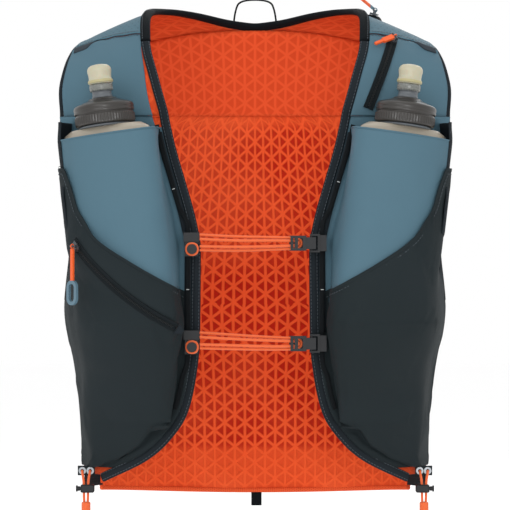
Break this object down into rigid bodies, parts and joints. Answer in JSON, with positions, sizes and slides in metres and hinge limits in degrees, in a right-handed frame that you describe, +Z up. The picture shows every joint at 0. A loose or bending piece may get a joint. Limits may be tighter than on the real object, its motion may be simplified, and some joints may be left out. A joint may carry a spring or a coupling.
{
  "type": "hydration pack",
  "caption": "Running vest pack with front soft flasks in sleeves, stretch pockets, adjustable chest straps and an open-mesh back.",
  "frame": {"origin": "inside top of the hang loop behind the neck", "axes": "+Z up, the wearer faces -Y, +X to the wearer's left"},
  "size_m": [0.3396, 0.3027, 0.4573],
  "materials": {
    "orange_mesh": "warp-knit spacer mesh, matt",
    "blue_fabric": "light stretch woven, matt",
    "dark_fabric": "fine stretch knit, matt with slight sheen",
    "binding": "flat elastic binding",
    "webbing": "narrow woven webbing",
    "metal": "painted eyelet",
    "zip_tape": "zip tape with coil",
    "zip_slider": "dark enamel",
    "pull_grey": "moulded pull",
    "flask_film": "translucent soft film",
    "cap_plastic": "ribbed moulded plastic",
    "stem_plastic": "moulded plastic",
    "silicone": "translucent silicone",
    "cord_orange": "braided elastic cord",
    "trim_plastic": "moulded acetal"
  },
  "bodies": {
    "vest": {"armhole_bindings": "binding", "back_bag": "blue_fabric", "back_panel": "orange_mesh", "back_stash_pocket": "dark_fabric", "flask_sleeve_left": "blue_fabric", "flask_sleeve_right": "blue_fabric", "front_binding_left": "binding", "front_binding_right": "binding", "front_lining_left": "orange_mesh", "front_lining_right": "orange_mesh", "hang_loop": "webbing", "hem_binding": "binding", "hem_eyelets": "metal", "hem_tab": "webbing", "lower_pocket_left": "dark_fabric", "lower_pocket_right": "dark_fabric", "neck_binding": "binding", "shoulder_strap_left": "blue_fabric", "shoulder_strap_right": "blue_fabric", "side_panel_left": "dark_fabric", "side_panel_right": "dark_fabric", "strap_rails": "webbing", "zip_tapes": "zip_tape"},
    "flask_right": {"flask_bag_right": "flask_film"},
    "flask_right_cap": {"flask_cap_right": "cap_plastic", "flask_stem_right": "stem_plastic"},
    "flask_right_valve": {"bite_valve_right": "silicone"},
    "flask_left": {"flask_bag_left": "flask_film"},
    "flask_left_cap": {"flask_cap_left": "cap_plastic", "flask_stem_left": "stem_plastic"},
    "flask_left_valve": {"bite_valve_left": "silicone"},
    "upper_keeper": {"upper_keeper": "trim_plastic", "upper_bights": "cord_orange"},
    "upper_strap": {"upper_elastic": "cord_orange", "upper_buckle": "trim_plastic"},
    "upper_receiver": {"upper_receiver": "trim_plastic"},
    "lower_keeper": {"lower_keeper": "trim_plastic", "lower_bights": "cord_orange"},
    "lower_strap": {"lower_elastic": "cord_orange", "lower_buckle": "trim_plastic"},
    "lower_receiver": {"lower_receiver": "trim_plastic"},
    "side_slider": {"side_zip_slider": "zip_slider"},
    "side_pull": {"side_zip_pull": "pull_grey"},
    "shoulder_slider": {"shoulder_zip_slider": "zip_slider"},
    "shoulder_pull": {"shoulder_zip_pull": "cord_orange"},
    "back_slider": {"back_zip_slider": "zip_slider"},
    "back_pull": {"back_zip_pull": "pull_grey"},
    "hem_right": {"hem_cord_right": "cord_orange", "hem_toggle_right": "trim_plastic"},
    "hem_right_lock": {"hem_lock_right": "trim_plastic"},
    "hem_right_button": {"hem_button_right": "trim_plastic"},
    "hem_left": {"hem_cord_left": "cord_orange", "hem_toggle_left": "trim_plastic"},
    "hem_left_lock": {"hem_lock_left": "trim_plastic"},
    "hem_left_button": {"hem_button_left": "trim_plastic"}
  },
  "joints": [
    {"name": "flask_right_lift", "type": "slide", "parent": "vest", "child": "flask_right", "axis": [-0.1217, 0.0523, 0.9912], "range_m": [0, 0.19]},
    {"name": "flask_right_cap_turn", "type": "hinge", "parent": "flask_right", "child": "flask_right_cap", "pos_m": [-0.1265, -0.1788, -0.119], "axis": [-0.1217, 0.0523, 0.9912], "range_deg": [0, 300]},
    {"name": "flask_right_valve_twist", "type": "hinge", "parent": "flask_right_cap", "child": "flask_right_valve", "pos_m": [-0.1265, -0.1788, -0.119], "axis": [-0.1217, 0.0523, 0.9912], "range_deg": [0, 90]},
    {"name": "flask_left_lift", "type": "slide", "parent": "vest", "child": "flask_left", "axis": [0.1217, 0.0523, 0.9912], "range_m": [0, 0.19]},
    {"name": "flask_left_cap_turn", "type": "hinge", "parent": "flask_left", "child": "flask_left_cap", "pos_m": [0.1265, -0.1788, -0.119], "axis": [0.1217, 0.0523, 0.9912], "range_deg": [0, 300]},
    {"name": "flask_left_valve_twist", "type": "hinge", "parent": "flask_left_cap", "child": "flask_left_valve", "pos_m": [0.1265, -0.1788, -0.119], "axis": [0.1217, 0.0523, 0.9912], "range_deg": [0, 90]},
    {"name": "upper_strap_height", "type": "slide", "parent": "vest", "child": "upper_keeper", "axis": [0, 0, 1], "range_m": [-0.03, 0]},
    {"name": "upper_strap_open", "type": "hinge", "parent": "upper_keeper", "child": "upper_strap", "pos_m": [-0.04705, -0.1833, -0.223], "axis": [0, 0, -1], "range_deg": [0, 90]},
    {"name": "upper_receiver_height", "type": "slide", "parent": "vest", "child": "upper_receiver", "axis": [0, 0, 1], "range_m": [-0.03, 0]},
    {"name": "lower_strap_height", "type": "slide", "parent": "vest", "child": "lower_keeper", "axis": [0, 0, 1], "range_m": [0, 0.025]},
    {"name": "lower_strap_open", "type": "hinge", "parent": "lower_keeper", "child": "lower_strap", "pos_m": [-0.04705, -0.1833, -0.306], "axis": [0, 0, -1], "range_deg": [0, 90]},
    {"name": "lower_receiver_height", "type": "slide", "parent": "vest", "child": "lower_receiver", "axis": [0, 0, 1], "range_m": [0, 0.025]},
    {"name": "side_zip_run", "type": "hinge", "parent": "vest", "child": "side_slider", "pos_m": [-0.06563, -0.11702, -0.22991], "axis": [0.5049, -0.44, 0.7426], "range_deg": [0, 50.5]},
    {"name": "side_pull_swing", "type": "hinge", "parent": "side_slider", "child": "side_pull", "pos_m": [-0.15346, -0.20398, -0.22171], "axis": [-0.7036, 0.7106, 0], "range_deg": [0, 60]},
    {"name": "shoulder_zip_run", "type": "hinge", "parent": "vest", "child": "shoulder_slider", "pos_m": [0.0895, -0.07781, -0.09906], "axis": [0.9169, 0.1023, -0.3858], "range_deg": [0, 44.7]},
    {"name": "shoulder_pull_swing", "type": "hinge", "parent": "shoulder_slider", "child": "shoulder_pull", "pos_m": [0.12049, -0.13382, -0.04027], "axis": [-0.5613, 0.4311, 0.7065], "range_deg": [0, 70]},
    {"name": "back_zip_run", "type": "hinge", "parent": "vest", "child": "back_slider", "pos_m": [0.08292, -0.0577, -0.10397], "axis": [-0.9481, 0.1854, 0.2583], "range_deg": [0, 32.2]},
    {"name": "back_pull_swing", "type": "hinge", "parent": "back_slider", "child": "back_pull", "pos_m": [0.10586, -0.06685, -0.01322], "axis": [0.204, 0.9778, 0.047], "range_deg": [0, 70]},
    {"name": "hem_right_swing", "type": "hinge", "parent": "vest", "child": "hem_right", "pos_m": [-0.1455, -0.1304, -0.415], "axis": [-1, 0, 0], "range_deg": [0, 60]},
    {"name": "hem_right_lock_slide", "type": "slide", "parent": "hem_right", "child": "hem_right_lock", "axis": [0, 0, 1], "range_m": [-0.004, 0.0015]},
    {"name": "hem_right_button_press", "type": "slide", "parent": "hem_right_lock", "child": "hem_right_button", "axis": [1, 0, 0], "range_m": [0, 0.0015], "stiffness_N_per_m": 300},
    {"name": "hem_left_swing", "type": "hinge", "parent": "vest", "child": "hem_left", "pos_m": [0.1455, -0.1304, -0.415], "axis": [-1, 0, 0], "range_deg": [0, 60]},
    {"name": "hem_left_lock_slide", "type": "slide", "parent": "hem_left", "child": "hem_left_lock", "axis": [0, 0, 1], "range_m": [-0.004, 0.0015]},
    {"name": "hem_left_button_press", "type": "slide", "parent": "hem_left_lock", "child": "hem_left_button", "axis": [-1, 0, 0], "range_m": [0, 0.0015], "stiffness_N_per_m": 300}
  ],
  "couplings": [
    {"joint": "upper_receiver_height", "follows": "upper_strap_height", "ratio": 1},
    {"joint": "lower_receiver_height", "follows": "lower_strap_height", "ratio": 1}
  ]
}
